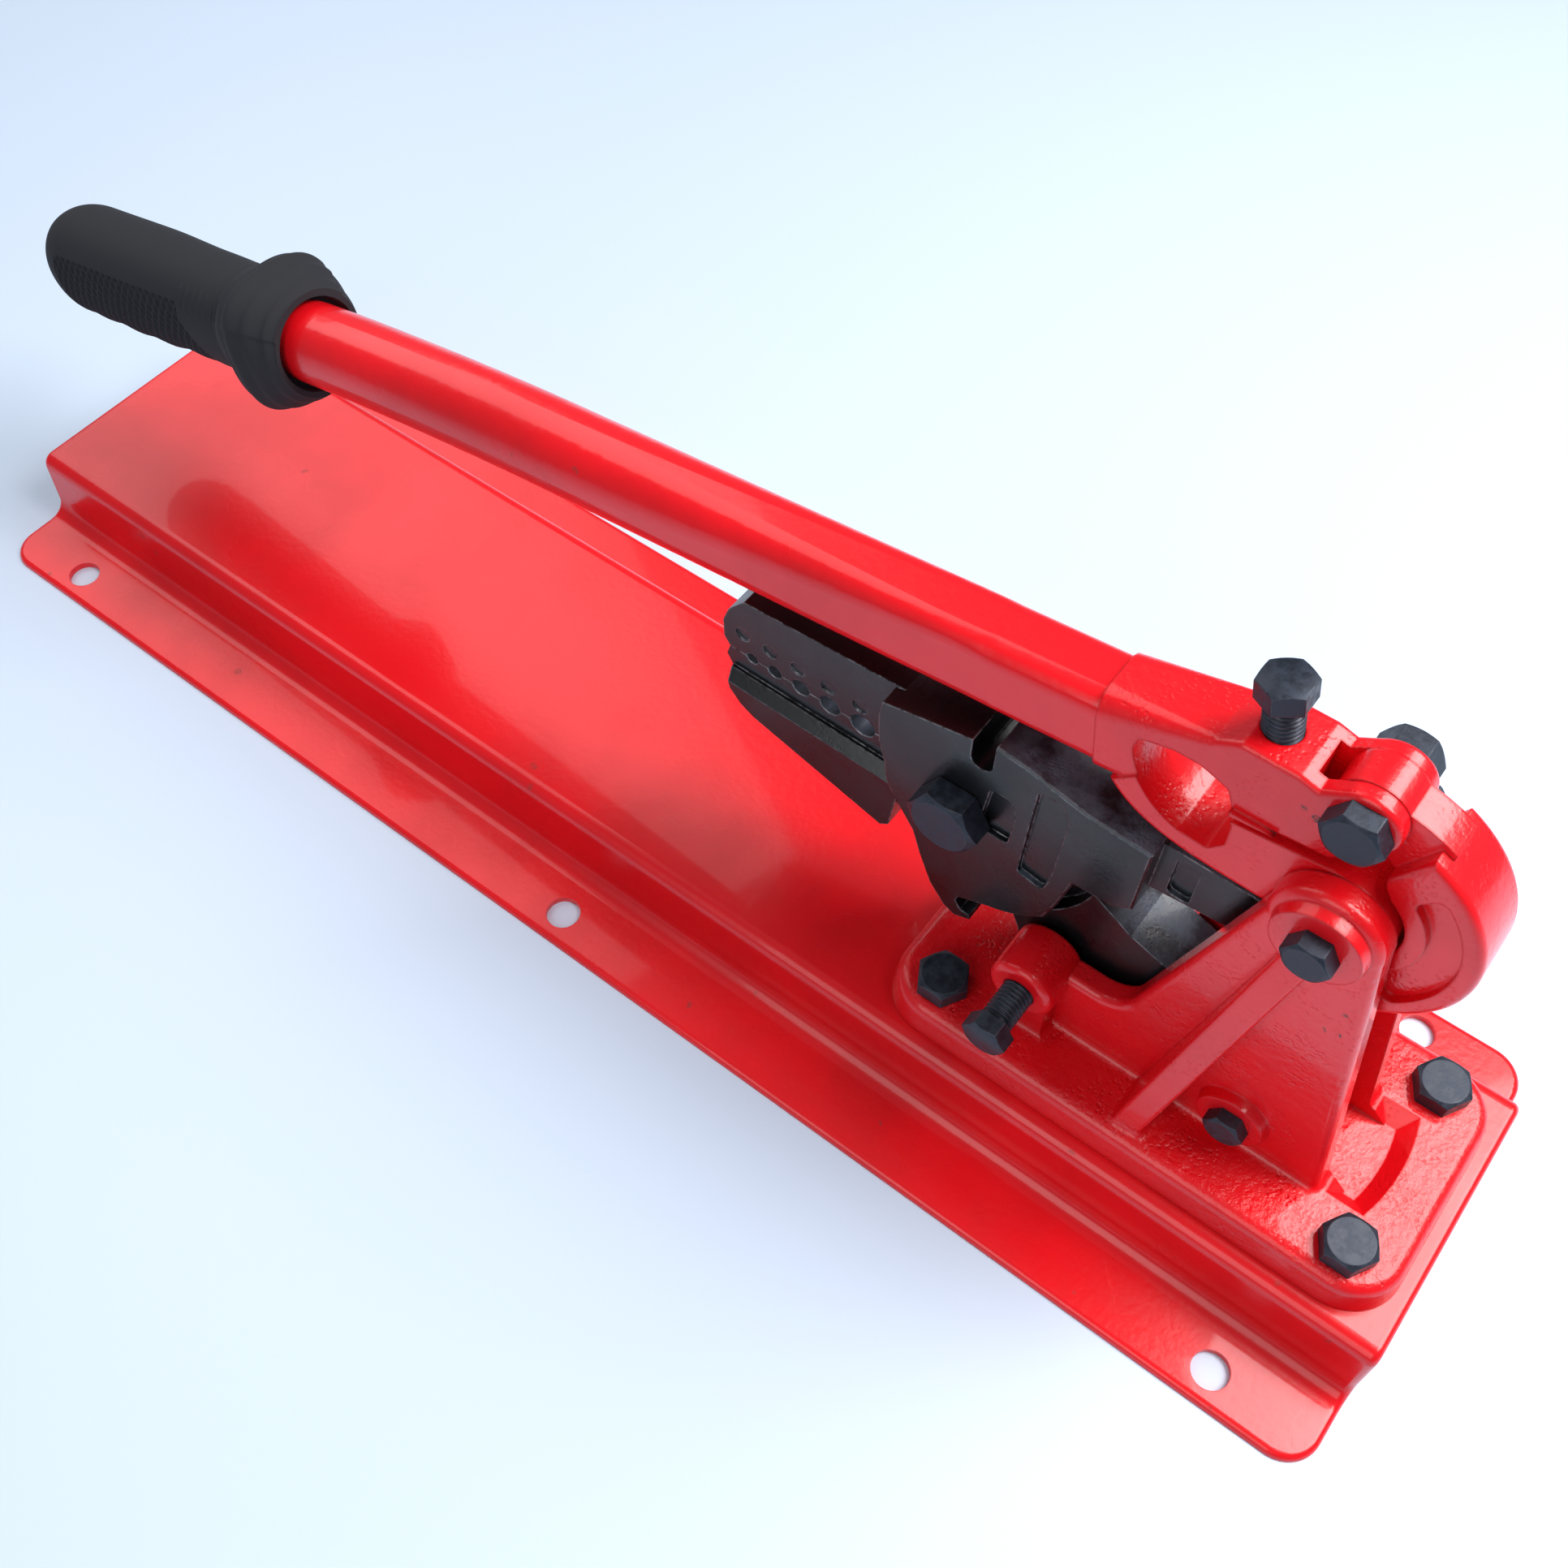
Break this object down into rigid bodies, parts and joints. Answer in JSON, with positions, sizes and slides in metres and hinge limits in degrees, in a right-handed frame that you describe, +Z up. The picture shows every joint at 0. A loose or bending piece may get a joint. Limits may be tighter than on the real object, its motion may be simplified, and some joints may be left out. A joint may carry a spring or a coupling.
{
  "type": "bench hand swager",
  "caption": "Bench-mounted lever press with a toggle link, hinged crimping jaws with graded die cavities, and a hat-section base plate to screw down.",
  "frame": {"origin": "centre of the six mounting holes, on the underside of the base plate", "axes": "+X along the base from the grip end to the mechanism, +Y to the far side, +Z up from the bench"},
  "size_m": [0.6904, 0.187, 0.2516],
  "materials": {
    "sheet_paint": "smooth gloss red paint",
    "casting_paint": "gloss red paint over rough casting",
    "jaw_black": "blacked forged steel with worn edges",
    "fastener_black": "black oxide",
    "grip_vinyl": "glossy moulded vinyl"
  },
  "bodies": {
    "base": {"base_plate": "sheet_paint", "frame_casting": "casting_paint", "base_bolts": "fastener_black", "base_washers": "fastener_black", "base_nuts": "fastener_black", "lower_jaw": "jaw_black", "jaw_pivot_bolt": "fastener_black", "jaw_pivot_nut": "fastener_black", "fulcrum_bolt": "fastener_black", "fulcrum_nut": "fastener_black", "anchor_bolt": "fastener_black", "anchor_nut": "fastener_black"},
    "lever": {"lever_head": "casting_paint", "lever_tube": "sheet_paint", "grip": "grip_vinyl", "link_bolt": "fastener_black", "link_nut": "fastener_black"},
    "toggle": {"toggle_link": "casting_paint", "tail_pin": "fastener_black"},
    "jaw": {"upper_jaw": "jaw_black"},
    "adjuster": {"adjusting_screw": "fastener_black"},
    "clamp_near": {"clamp_screw_near": "fastener_black"},
    "clamp_far": {"clamp_screw_far": "fastener_black"}
  },
  "joints": [
    {"name": "lever_swing", "type": "hinge", "parent": "base", "child": "lever", "pos_m": [0.26, 0, 0.187], "axis": [0, 1, 0], "range_deg": [0, 75]},
    {"name": "link_swing", "type": "hinge", "parent": "lever", "child": "toggle", "pos_m": [0.2545, 0, 0.2255], "axis": [0, 1, 0], "range_deg": [-42, 1]},
    {"name": "jaw_swing", "type": "hinge", "parent": "base", "child": "jaw", "pos_m": [0.138, 0, 0.134], "axis": [0, 1, 0], "range_deg": [0, 7]},
    {"name": "adjuster_travel", "type": "slide", "parent": "lever", "child": "adjuster", "axis": [-0.1908, 0, 0.9816], "range_m": [0, 0.012]},
    {"name": "clamp_near_travel", "type": "slide", "parent": "base", "child": "clamp_near", "axis": [0, -1, 0], "range_m": [0, 0.01]},
    {"name": "clamp_far_travel", "type": "slide", "parent": "base", "child": "clamp_far", "axis": [0, 1, 0], "range_m": [0, 0.01]}
  ],
  "couplings": [
    {"joint": "link_swing", "follows": "lever_swing", "ratio": -0.54},
    {"joint": "jaw_swing", "follows": "lever_swing", "ratio": 0.084}
  ]
}
